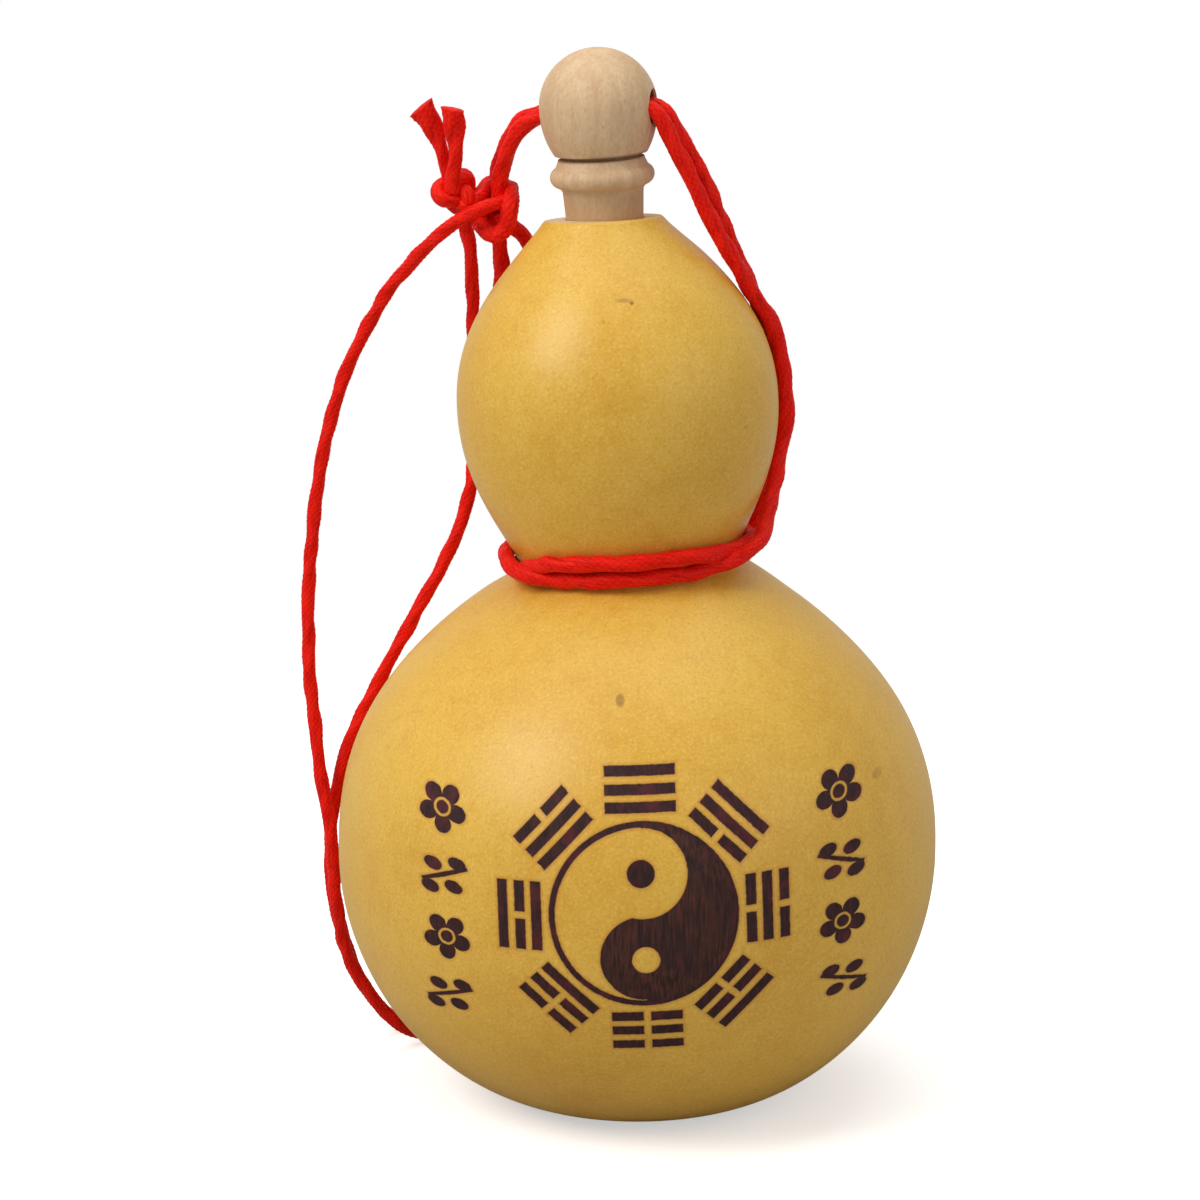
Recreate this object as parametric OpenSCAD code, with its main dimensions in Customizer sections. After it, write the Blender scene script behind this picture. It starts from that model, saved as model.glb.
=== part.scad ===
// Gourd water bottle: a dried two-bulb gourd with a turned wooden stopper,
// a doubled red cord wound round its waist and run through the stopper's ball,
// and a second cord hitched to it as a hanging loop.
// The lower bulb stands upright on its flat base. The upper bulb leans to the left.

/* [Lower bulb] */
// Radius of the lower bulb at its widest
belly_r = 52; // [46:0.5:58]
// Height of the widest place of the lower bulb
belly_z = 43.7; // [38:0.1:50]
// Radius of the flat that it stands on
base_r = 17.3; // [10:0.1:24]
// How squarely the bulb runs into its base: 2 is an ellipse
base_curve = 1.95; // [1.6:0.05:2.6]
// How roundly it turns under: 0.5 is an ellipse
base_turn = 0.58; // [0.45:0.01:0.8]
// How full the shoulder of the lower bulb is
shoulder_curve = 2.38; // [1.8:0.02:3]

/* [Waist] */
// Height where the two bulbs meet
waist_z = 95; // [90:0.5:100]
// Radius of the waist
waist_r = 18.4; // [16:0.1:21]

/* [Upper bulb] */
// Radius of the upper bulb at its widest
crown_r = 27.4; // [24:0.1:31]
// Height of the widest place of the upper bulb, along its own axis
crown_z = 122.4; // [116:0.1:128]
// How full the upper bulb is below its widest place
crown_under = 2.07; // [1.7:0.01:2.6]
// How full the upper bulb is above its widest place
crown_over = 2.19; // [1.8:0.01:2.6]
// Lean of the upper bulb to the left, in degrees
lean = 4.4; // [0:0.1:6]
// Height where the lean starts
lean_z = 77; // [70:0.5:84]

/* [Mouth] */
// Height of the cut mouth, along the upper bulb's axis
mouth_z = 153.9; // [148:0.1:160]
// Radius of the cut at the mouth
mouth_r = 10; // [9:0.1:12]
// Radius of the hole through the mouth
bore_r = 6.65; // [5.5:0.05:7.5]
// Length of the hole, down to the chamber
bore_len = 5; // [3:0.5:7]
// Width of the scraped bevel round the cut
bevel = 0.5; // [0.2:0.1:0.8]
// Lean of the hole and its stopper to the left, in degrees
bore_lean = 3.4; // [0:0.1:6]
// Distance by which the hole is off the middle of the cut, to the right
bore_shift = 0.3; // [-1:0.1:1]

/* [Walls] */
// Thickness of the gourd's wall
wall = 3.2; // [2.5:0.1:4]
// Thickness of the floor over the flat base
floor_t = 4.5; // [3:0.1:6]
// Thickness of the beeswax lining
wax_t = 0.6; // [0.4:0.1:1]
// Gap drawn between the wax and the wall
wax_gap = 0.2; // [0.1:0.05:0.4]
// Height of the lining's upper edge, along the upper bulb's axis
wax_top = 141; // [130:0.5:142]

/* [Stopper] */
// Radius of the ball
ball_r = 10; // [8.5:0.1:11]
// Height of the ball's widest place above the mouth
ball_rise = 18.8; // [17.5:0.1:22]
// Height of the ball above its widest place
ball_top = 10.3; // [9:0.1:12]
// Half height of the longer curve below the ball's widest place
ball_under = 12.6; // [11:0.1:15]
// Height of the turned groove above the mouth
groove_rise = 10.7; // [9.7:0.1:11]
// Radius at the bottom of the groove
groove_r = 6.7; // [6:0.1:7]
// Width of the groove
groove_w = 0.7; // [0.4:0.1:1]
// Radius of the bead at its widest
bead_r = 8.85; // [8:0.05:9.5]
// Height of the bead's middle above the mouth
bead_rise = 7.3; // [7:0.1:7.8]
// Radius of the bead's round edge
bead_round = 1.75; // [1.4:0.05:2]
// Radius of the collar between the bead and the groove
collar_r = 7.9; // [7.4:0.1:8.2]
// Radius of the shank under the bead
shank_r = 6.85; // [6.6:0.05:7.2]
// Free space between the plug and the hole at the mouth
plug_gap = 0.1; // [0.05:0.05:0.3]
// Length of the plug inside the mouth
plug_len = 12; // [9:0.5:14]
// How much narrower the plug's end is than its top, in radius
plug_taper = 0.7; // [0.3:0.1:1]
// Radius of the cord hole through the ball
hole_r = 3.3; // [3.2:0.05:3.6]
// Height of the cord hole above the mouth
hole_rise = 19.3; // [18.5:0.1:20.5]
// Turn of the cord hole towards the front on the right, in degrees
hole_turn = 13; // [0:1:30]

/* [Cord] */
// Diameter of the braided cord
cord_d = 2.8; // [2:0.1:3]
// Diameter of the hanging loop's thinner cord
loop_d = 2.4; // [1.8:0.1:2.8]
// Turns of the winding round the waist
wrap_turns = 2; // [1:1:3]
// Gap between the turns of the winding
wrap_gap = 0.5; // [0.45:0.05:1]
// Height where the winding starts, above the waist
wrap_start = -0.15; // [-0.6:0.1:1]
// Gap drawn between the cord and what it lies on
cord_gap = 0.25; // [0.2:0.05:0.5]

/* [Hidden] */
$fn = 96;
// Points on each quarter of an outline
steps = 14;
// Sides of a free cord and of the winding
cord_sides = 8;
wrap_sides = 6;
// Rings in each turn of the winding
wrap_rings = 24;
cord_r = cord_d / 2;
low_waist_r = waist_r - 1.7;
low_turn = 0.95;
under_turn = 1.22;
over_turn = 1.13;
// Depth to which the upper bulb's foot runs into the lower bulb
foot = 7;

gourd_color = [0.93, 0.74, 0.36];
wax_color = [0.80, 0.66, 0.38];
wood_color = [0.87, 0.74, 0.57];
cord_color = [0.84, 0.06, 0.06];

// One stretch of an outline, from its widest place (ra, za) to its end (rb, zb)
function stretch(ra, za, rb, zb, p, q) = [
  for (i = [0:steps])
    let (t = sin(90 * i / steps))
    [rb + (ra - rb) * pow(max(0, 1 - pow(t, p)), q), za + (zb - za) * t]
];
function flip(list) = [for (i = [len(list) - 1:-1:0]) list[i]];

// Radius of the upper bulb's skin at height s on its own axis, between waist and widest
function skin_r(s) =
  let (t = min(1, max(0, (crown_z - s) / (crown_z - waist_z))))
  waist_r + (crown_r - waist_r) * pow(1 - pow(t, crown_under), under_turn);

// A place given by its distance, angle and height about the upper bulb's leaning axis
function on_upper(rho, angle, s) =
  let (x = rho * cos(angle), h = s - lean_z)
  [x * cos(lean) - h * sin(lean), rho * sin(angle), lean_z + x * sin(lean) + h * cos(lean)];

module upper_frame() {
  translate([0, 0, lean_z])
    rotate([0, -lean, 0])
      translate([0, 0, -lean_z])
        children();
}

// The hole's own frame, from the middle of its rim upwards
module bore_frame() {
  translate(on_upper(bore_shift, 0, mouth_z))
    rotate([0, -bore_lean, 0])
      children();
}

// The lower bulb, drawn in from its skin by inset, from height floor_z
module lower_bulb(inset, floor_z) {
  top_z = waist_z - inset;
  rotate_extrude()
    polygon(concat(
      [[0, floor_z]],
      flip(stretch(belly_r - inset, belly_z, base_r, floor_z, base_curve, base_turn)),
      stretch(belly_r - inset, belly_z, low_waist_r - inset / 2, top_z, shoulder_curve, low_turn),
      [[0, top_z]]
    ));
}

// The upper bulb, drawn in from its skin by inset, up to radius end_r at height end_z
module upper_bulb(inset, end_r, end_z) {
  upper_frame()
    rotate_extrude()
      polygon(concat(
        [[0, waist_z - foot], [waist_r - inset, waist_z - foot]],
        flip(stretch(crown_r - inset, crown_z, waist_r - inset, waist_z, crown_under, under_turn)),
        stretch(crown_r - inset, crown_z, end_r, end_z, crown_over, over_turn),
        [[0, end_z]]
      ));
}

module chamber(inset) {
  extra = inset - wall;
  lower_bulb(inset, floor_t + extra);
  upper_bulb(inset, bore_r, mouth_z - bore_len - extra);
}

// The dried gourd: two bulbs, hollow, cut flat at the mouth and drilled for the stopper
module gourd_shell() {
  color(gourd_color)
    difference() {
      union() {
        lower_bulb(0, 0);
        upper_bulb(0, mouth_r + bevel, mouth_z - bevel);
        upper_frame()
          translate([0, 0, mouth_z - bevel])
            cylinder(h = bevel, r1 = mouth_r + bevel, r2 = mouth_r);
      }
      chamber(wall);
      bore_frame()
        translate([0, 0, -bore_len - 1])
          cylinder(h = bore_len + 2, r = bore_r);
    }
}

// Beeswax poured in and swirled round, which keeps the water from the gourd's wall
module wax_lining() {
  color(wax_color)
    difference() {
      chamber(wall + wax_gap);
      chamber(wall + wax_gap + wax_t);
      upper_frame()
        translate([0, 0, wax_top])
          cylinder(h = mouth_z, r = crown_r);
    }
}

// Outline of the turned stopper, as radius and height above the mouth
function ball_arc() = [
  for (i = [0:steps])
    [ball_r * cos(90 * i / steps), ball_rise + ball_top * sin(90 * i / steps)]
];
function ball_lower() =
  let (foot_z = groove_rise + groove_w / 2, drop = (ball_rise - foot_z) / ball_under)
  [for (i = [0:steps - 1])
    let (k = drop * (steps - i) / steps)
    [ball_r * sqrt(1 - k * k), ball_rise - k * ball_under]];
function bead_arc() = [
  for (a = [-70:14:70])
    [bead_r - bead_round + bead_round * cos(a), bead_rise + bead_round * sin(a)]
];

module stopper() {
  neck_r = bore_r - plug_gap;
  color(wood_color)
    bore_frame()
      difference() {
        rotate_extrude()
          polygon(concat(
            [
              [0, -plug_len],
              [neck_r - plug_taper - bevel, -plug_len],
              [neck_r - plug_taper, -plug_len + bevel],
              [neck_r, 0],
              [shank_r, bead_rise - bead_round - bevel]
            ],
            bead_arc(),
            [
              [collar_r, bead_rise + bead_round],
              [(collar_r + groove_r) / 2, groove_rise - groove_w / 2],
              [groove_r, groove_rise]
            ],
            ball_lower(),
            ball_arc()
          ));
        rotate([0, 0, -hole_turn])
          translate([0, 0, hole_rise])
            rotate([0, 90, 0])
              cylinder(h = 4 * ball_r, r = hole_r, center = true);
      }
}

// Sweeping a cord: one closed tube round the places of a route
function unit(v) = v / norm(v);
function heading(path, i) = unit(path[min(i + 1, len(path) - 1)] - path[max(i - 1, 0)]);
function across(v) = unit(cross(v, abs(v.z) < 0.8 ? [0, 0, 1] : [1, 0, 0]));
function carry(side, v) = unit(side - (side * v) * v);
function sides_along(path, i, side) =
  i == len(path) ? [] :
  let (v = heading(path, i), s = i == 0 ? across(v) : carry(side, v))
  concat([s], sides_along(path, i + 1, s));

module tube(path, r, n) {
  rings = len(path);
  sides = sides_along(path, 0, [0, 0, 1]);
  points = [
    for (i = [0:rings - 1])
      let (v = heading(path, i), u = sides[i], w = cross(v, u))
      for (k = [0:n - 1])
        path[i] + r * (cos(360 * k / n) * u + sin(360 * k / n) * w)
  ];
  skin = [
    for (i = [0:rings - 2], k = [0:n - 1])
      let (a = i * n + k, b = i * n + (k + 1) % n)
      each [[a, a + n, b], [b, a + n, b + n]]
  ];
  first = [for (k = [1:n - 2]) [0, k, k + 1]];
  last = [for (k = [1:n - 2]) [(rings - 1) * n, (rings - 1) * n + k + 1, (rings - 1) * n + k]];
  polyhedron(points = points, faces = concat(skin, first, last));
}

// The winding: turns round the waist from the right side over the front, climbing steadily
wrap_pitch = cord_d + wrap_gap;
// Distance from the axis at which the cord lies on the upper bulb's sloping skin
function lying_r(s) =
  skin_r(s) + (cord_r + cord_gap) * norm([1, skin_r(s + 0.5) - skin_r(s - 0.5)]);
function wrap_point(turn) =
  let (s = waist_z + wrap_start + wrap_pitch * turn)
  on_upper(lying_r(s), -360 * turn, s);
function wrap_turn_points() = [
  for (i = [3:wrap_rings * wrap_turns - 2])
    wrap_point(i / wrap_rings)
];
// Both ends leave upwards at the right side: the lower one outside the turns, as chosen
// steps of distance from the skin, angle and height above the waist
wrap_in = [
  [0.2, 7, 13], [0.6, 6.5, 10.5], [1.6, 6, 8], [2.9, 4, 5.6],
  [3.4, -2, 3.7], [3.4, -10, 2.2], [3.8, -19, 1.2], [2.8, -28, 0.3], [1.2, -37, 0]
];
wrap_out = [[0, 22, 6.3], [0, 17.5, 8], [0, 16, 10.5], [0, 15.8, 13]];
function lead(list) = [
  for (p = list)
    on_upper(lying_r(waist_z + p[2]) + p[0], p[1], waist_z + p[2])
];
wrap_path = concat(lead(wrap_in), wrap_turn_points(), lead(wrap_out));

// Least distance between places of one path that are more than skip rings apart, less the cord
function least_gap(path, skip, d) =
  min([for (i = [0:len(path) - 1 - skip]) for (j = [i + skip:len(path) - 1]) norm(path[i] - path[j])]) - d;

module waist_wrap() {
  color(cord_color)
    tube(wrap_path, cord_r, wrap_sides);
  echo(str("waist winding: least gap to itself ", least_gap(wrap_path, 5, cord_d), " mm"));
}

// Free stretches of the two cords, as places chosen by eye on the photographed route
right_outer = [
  [4.1, -4.2, 173.1], [5, -4.4, 172.1], [6.3, -4.3, 168], [10.1, -3.6, 159.3], [13.1, -2.7, 152.9],
  [16.6, -1.1, 146.4], [20.2, 1.1, 139.9], [22.4, 2.6, 136.2], [23.9, 4.1, 132.4],
  [25.2, 5.5, 125], [25.4, 5.1, 117.5], [23.85, 3.3, 110.2]
];
right_inner = [
  [4.8, -1.1, 173.1], [6, -1.4, 172.3], [8.7, -1.4, 165.3], [11.8, -0.8, 158.9],
  [14.4, 0.3, 152.5], [17.1, 2.2, 146], [20.2, 4.6, 139.3], [22.9, 7.2, 133], [24.4, 9.2, 126],
  [24.8, 9, 118], [22.9, 7.2, 110.2]
];
top_back = [
  [3.5, -0.8, 173.2], [-6.5, 1.5, 172.4], [-16.4, 3.7, 171.7], [-19.9, 4.9, 171.1], [-22.6, 6, 167.5],
  [-24, 8.3, 162.7], [-24.2, 9.6, 158.6]
];
top_front = [
  [2.8, -3.8, 173.2], [-7.2, -1.5, 172.4], [-17.1, 0.6, 171.7], [-18.9, 1.3, 170.2], [-21, 3, 167],
  [-22.9, 5, 162.7], [-23.8, 6.3, 158.6]
];
back_left = [
  [-24.2, 9, 147.9], [-24.4, 10.3, 143.5], [-25.7, 12.8, 137], [-27, 16, 130],
  [-26.6, 18.8, 122.5], [-23.9, 20.6, 115.5], [-20.4, 21.4, 108.5], [-17.8, 22, 102.4]
];
back_right = [
  [-21.6, 9.8, 149.1], [-19.5, 12.4, 146.5], [-19.4, 16.6, 142], [-20.3, 20.8, 135.5],
  [-20.8, 23.3, 128], [-19.6, 24.8, 119.5], [-17, 24.4, 110.5], [-15.2, 23.8, 102.4]
];
loop_route = [
  [-26.1, 5.3, 154.2], [-28.2, 2.7, 153.5], [-31.4, 1.4, 152.3], [-35.3, 3.6, 149],
  [-42.5, 7.5, 140.5], [-48.5, 9.5, 130], [-53, 10.5, 118], [-56, 11, 103], [-57.5, 11, 87],
  [-57.5, 10.5, 72], [-56, 9.5, 56], [-54, 9, 42.5], [-53.5, 10.5, 31], [-52, 13.5, 20],
  [-48.5, 16, 12], [-44, 18.5, 5.5], [-38, 22, 1.6], [-31, 27, 1.5], [-25.5, 34.5, 1.5],
  [-25, 43, 1.5], [-31, 49, 1.5], [-38.5, 47, 1.5], [-42, 40, 1.5], [-43.5, 31.5, 1.6],
  [-46, 25, 5], [-50, 19.5, 13], [-53.5, 15, 26], [-54.5, 12.7, 41], [-51.5, 12.5, 57],
  [-45.5, 12.5, 70.5], [-37.5, 12.5, 85], [-30.8, 13.2, 99], [-29, 14, 116], [-29.5, 13.5, 132],
  [-30, 10.3, 147], [-30.6, 8.4, 153]
];
tail_left = [
  [-33.4, 6.8, 160.8], [-33.9, 6, 166], [-36.6, 4, 172.3]
];
tail_right = [
  [-31.9, 4.1, 160.3], [-31.5, 3.4, 166], [-31, 2.2, 172.3]
];
// Knots as the two ends of a rounded lump, and its radius
hitch_ends = [[-24.2, 8, 156.6], [-23.7, 8, 151.2]];
end_ends = [[-32.9, 6, 158.4], [-30.9, 6.3, 156.3]];
tie_ends = [[-17.4, 22.4, 99.4], [-15.6, 23.4, 98.8]];
knot_r = 3.3;

module cord(route, d = cord_d) {
  color(cord_color)
    tube(route, d / 2, cord_sides);
}

module knot(ends) {
  color(cord_color)
    hull()
      for (p = ends)
        translate(p)
          sphere(r = knot_r, $fn = 20);
}

// The doubled cord from the waist up to the ball's right side
module tether_right() {
  cord(right_outer);
  cord(right_inner);
}

// The doubled cord through the ball and on to the hitch
module tether_top() {
  cord(top_back);
  cord(top_front);
}

// Its two ends, down behind the upper bulb to the tie
module tether_back() {
  cord(back_left);
  cord(back_right);
}

// The hitch by which the hanging loop holds the doubled cord
module hitch_knot() {
  knot(hitch_ends);
}

// The knot that ties the doubled cord's ends to the winding
module back_tie() {
  knot(tie_ends);
}

// The hanging loop: down on the left, round behind the lower bulb and up again
module hanging_loop() {
  cord(loop_route, loop_d);
}

// The knot that joins the hanging loop's ends, and the two tails above it
module end_knot() {
  knot(end_ends);
}

module cord_tails() {
  cord(tail_left, loop_d);
  cord(tail_right, loop_d);
}

gourd_shell();
wax_lining();
stopper();
waist_wrap();
tether_right();
tether_top();
hitch_knot();
tether_back();
back_tie();
hanging_loop();
end_knot();
cord_tails();
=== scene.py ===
"""A gourd water bottle: a dried gourd with a turned stopper, a tether cord and a hanging cord.

Lengths are in millimetres in every route, profile and pattern here, and go to metres with MM
when a mesh is made. The axes are the CAD frame's: the bottle stands on z = 0, its front
looks to -y, and its upper bulb leans to -x.
"""

import math

import bpy
import numpy as np
from mathutils import Matrix, Vector


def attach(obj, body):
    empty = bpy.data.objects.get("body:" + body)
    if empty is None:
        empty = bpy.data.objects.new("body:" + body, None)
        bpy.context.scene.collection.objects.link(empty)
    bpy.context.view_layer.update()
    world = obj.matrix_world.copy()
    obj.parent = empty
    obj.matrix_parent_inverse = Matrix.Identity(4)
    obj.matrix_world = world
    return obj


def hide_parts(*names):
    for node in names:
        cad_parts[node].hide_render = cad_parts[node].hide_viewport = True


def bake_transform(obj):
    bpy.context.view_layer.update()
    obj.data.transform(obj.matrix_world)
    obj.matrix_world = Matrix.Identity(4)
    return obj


MM = 0.001

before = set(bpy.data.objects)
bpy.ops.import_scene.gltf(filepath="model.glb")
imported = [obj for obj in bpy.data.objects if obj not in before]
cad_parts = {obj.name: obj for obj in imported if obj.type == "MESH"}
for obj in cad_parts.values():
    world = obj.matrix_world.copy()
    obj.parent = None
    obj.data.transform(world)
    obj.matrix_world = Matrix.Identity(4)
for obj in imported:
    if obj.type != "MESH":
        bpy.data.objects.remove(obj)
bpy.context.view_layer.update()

# The CAD's sizes that the finished forms share. A bend is the pair of exponents of one stretch
# of the outline: from the belly down, from the belly up, from the crown down and from it up.
BELLY_R, BELLY_Z, BASE_R = 52.0, 43.7, 17.3
WAIST_R, WAIST_Z, WAIST_STEP = 18.4, 95.0, 1.7
CROWN_R, CROWN_Z = 27.4, 122.4
MOUTH_R, MOUTH_Z, BORE_R, BORE_LEN, BEVEL = 10.0, 153.9, 6.65, 5.0, 0.5
BASE_BEND, BELLY_BEND = (1.95, 0.58), (2.38, 0.95)
WAIST_BEND, TOP_BEND = (2.07, 1.22), (2.19, 1.13)
WALL, FLOOR = 3.2, 4.5
LEAN, LEAN_Z = math.radians(4.4), 77.0
BORE_LEAN, BORE_SHIFT = math.radians(3.4), 0.3
CORD, LOOP_CORD = 2.8, 2.4

# Sizes that are this script's own: the depth of the skin's dents, the slopes by which the
# mouth's cut rises towards the front and the left, the plug's length, the stopper's ball,
# groove and cross hole with heights above the hole's rim, and the floor's glow.
DENT = 0.1
CUT_FRONT, CUT_LEFT, CUT_FROM = 0.062, 0.024, 146
PLUG = 12
BALL_R, BALL_Z, BALL_TOP, BALL_DROP = 10.0, 18.8, 10.05, 12.6
BALL_FROM, GROOVE_Z = 11.05, 10.7
HOLE_R, HOLE_EASE, HOLE_Z, HOLE_TURN = 3.05, 0.25, 18.4, -13
FLOOR_LIFT = 0.5


# Camera
def set_camera():
    """The photograph's camera: above the bottle's top, 0.72 m in front, looking down at it."""
    data = bpy.data.cameras.new("camera")
    data.sensor_width = 36
    data.lens = 128.44
    data.clip_start = 0.05
    data.clip_end = 20
    camera = bpy.data.objects.new("camera", data)
    bpy.context.collection.objects.link(camera)
    eye, aim = Vector((0, -0.720, 0.250)), Vector((-0.00642, 0, 0.08755))
    camera.location = eye
    camera.rotation_euler = (aim - eye).to_track_quat("-Z", "Y").to_euler()
    bpy.context.scene.camera = camera


set_camera()


# Curves and small maths
def ease(x, low=0.0, high=1.0):
    """0 before low, 1 after high, and a smooth step between."""
    t = np.clip((np.asarray(x, float) - low) / (high - low), 0, 1)
    return t * t * (3 - 2 * t)


def on_upper(rho, angle, s):
    """The place at distance rho, angle in degrees and height s about the upper bulb's axis."""
    x, y, h = rho * np.cos(np.radians(angle)), rho * np.sin(np.radians(angle)), s - LEAN_Z
    return np.stack(
        np.broadcast_arrays(
            x * math.cos(LEAN) - h * math.sin(LEAN),
            y,
            LEAN_Z + x * math.sin(LEAN) + h * math.cos(LEAN),
        ),
        -1,
    )


def axis_height(x, z):
    """Height along the upper bulb's axis, for numbers and for node values alike."""
    return (z - LEAN_Z) * math.cos(LEAN) - x * math.sin(LEAN) + LEAN_Z


def on_bore(rho, angle, h):
    """The place at distance rho, angle in degrees and height h above the hole's rim."""
    x, y = rho * np.cos(np.radians(angle)), rho * np.sin(np.radians(angle))
    rim = on_upper(BORE_SHIFT, 0, MOUTH_Z)
    return rim + np.stack(
        np.broadcast_arrays(
            x * math.cos(BORE_LEAN) - h * math.sin(BORE_LEAN),
            y,
            x * math.sin(BORE_LEAN) + h * math.cos(BORE_LEAN),
        ),
        -1,
    )


def smooth_line(points, step):
    """Points every step along a centripetal Catmull-Rom curve through points."""
    p = np.asarray(points, float)
    p = np.vstack([2 * p[0] - p[1], p, 2 * p[-1] - p[-2]])
    gap = np.sqrt(np.linalg.norm(np.diff(p, axis=0), axis=1))
    knot = np.concatenate([[0], np.cumsum(gap)])
    line = []
    for i in range(1, len(p) - 2):
        t0, t1, t2, t3 = knot[i - 1 : i + 3]
        t = np.linspace(t1, t2, 24, endpoint=False)[:, None]
        a1 = ((t1 - t) * p[i - 1] + (t - t0) * p[i]) / (t1 - t0)
        a2 = ((t2 - t) * p[i] + (t - t1) * p[i + 1]) / (t2 - t1)
        a3 = ((t3 - t) * p[i + 1] + (t - t2) * p[i + 2]) / (t3 - t2)
        b1 = ((t2 - t) * a1 + (t - t0) * a2) / (t2 - t0)
        b2 = ((t3 - t) * a2 + (t - t1) * a3) / (t3 - t1)
        line.append(((t2 - t) * b1 + (t - t1) * b2) / (t2 - t1))
    line = np.vstack(line + [p[-2:-1]])
    far = np.concatenate([[0], np.cumsum(np.linalg.norm(np.diff(line, axis=0), axis=1))])
    even = np.linspace(0, far[-1], max(4, round(far[-1] / step)) + 1)
    return np.stack([np.interp(even, far, line[:, k]) for k in range(3)], -1)


def line_length(line):
    return float(np.linalg.norm(np.diff(line, axis=0), axis=1).sum())


def carried_sides(line):
    """Two directions across the line at each point, carried along it without twist."""
    along = np.gradient(line, axis=0)
    along /= np.linalg.norm(along, axis=1)[:, None]
    side = np.cross(along[0], [0, 0, 1] if abs(along[0][2]) < 0.8 else [1, 0, 0])
    first = []
    for v in along:
        side = side - (side @ v) * v
        side = side / np.linalg.norm(side)
        first.append(side)
    first = np.array(first)
    return first, np.cross(along, first)


def stretch(t, near, far, p, q):
    """Radius and height at t on one stretch of an outline, as the CAD draws it.

    near and far are the (radius, height) of its two ends, and p and q shape what lies between.
    """
    return far[0] + (near[0] - far[0]) * (1 - t**p) ** q, near[1] + (far[1] - near[1]) * t


# Making meshes
def link(name, verts, faces, smooth=True):
    """A mesh object from points in millimetres."""
    mesh = bpy.data.meshes.new(name)
    mesh.from_pydata((np.asarray(verts) * MM).tolist(), [], faces)
    mesh.validate()
    if smooth:
        mesh.shade_smooth()
    obj = bpy.data.objects.new(name, mesh)
    bpy.context.collection.objects.link(obj)
    return obj


def grid_faces(rings, around):
    """Quads between rings of around points each, closed round."""
    i, k = np.meshgrid(np.arange(rings - 1), np.arange(around), indexing="ij")
    a, b = i * around + k, i * around + (k + 1) % around
    return np.stack([a, b, b + around, a + around], -1).reshape(-1, 4).tolist()


def lathe(name, outline, around, place):
    """Turns an outline that starts and ends on the axis. place(r, angle, z) puts each point."""
    r, z = np.asarray(outline[1:-1], float).T
    angle = np.arange(around) * 360 / around
    body = place(r[:, None], angle[None, :], z[:, None]).reshape(-1, 3)
    ends = [place(np.array(0.0), np.array(0.0), np.array(outline[k][1])) for k in (0, -1)]
    faces = grid_faces(len(r), around)
    n, last = len(body), (len(r) - 1) * around
    faces += [[n, (k + 1) % around, k] for k in range(around)]
    faces += [[n + 1, last + k, last + (k + 1) % around] for k in range(around)]
    return link(name, np.vstack([body, ends]), faces)


# Braided cord

# STRANDS run each way round a cord. A strand goes once round in PITCH times the cord's own
# girth, and a fibre turns by one radian in FIBRE_LAY. STEP is the distance of a cord's rings.
STRANDS = 8
PITCH = 1.15
FIBRE_LAY = 7
STEP = 0.22
SWAY, LOOP_SWAY = 0.1, 0.11


def braid(along, turn, pitch):
    """Height from 0 to 1 of a round braid.

    Strands run both ways round the cord, STRANDS each way, and pass over one and under one.
    """
    one, two = STRANDS * (turn + along / pitch), STRANDS * (turn - along / pitch)

    def crown(f):
        return np.sqrt(np.clip(1 - (2 * (f % 1) - 1) ** 2, 0, 1))

    rise_one = np.cos(np.pi * (two - 0.5 + np.floor(one)))
    rise_two = -np.cos(np.pi * (one - 0.5 + np.floor(two)))
    high_one = 0.62 * crown(one) + 0.38 * rise_one
    high_two = 0.62 * crown(two) + 0.38 * rise_two
    return np.clip(np.maximum(high_one, high_two), 0, 1)


def uneven(line, sway):
    """The line with a soft cord's small bends, the same ones each time and none at its ends."""
    rings = len(line)
    side, other = carried_sides(line)
    far = np.arange(rings) * (line_length(line) / (rings - 1))
    fade = ease(far, 0, 6) * (1 - ease(far, far[-1] - 6, far[-1]))
    one = np.sin(far / 2.9) + 0.8 * np.sin(far / 1.37 + 1.9) + 0.6 * np.sin(far / 5.3 + 0.4)
    two = np.sin(far / 2.3 + 2.2) + 0.8 * np.sin(far / 1.61 + 0.3) + 0.6 * np.sin(far / 4.1 + 1.1)
    return line + sway * fade[:, None] * (one[:, None] * side + two[:, None] * other) / 2


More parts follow.
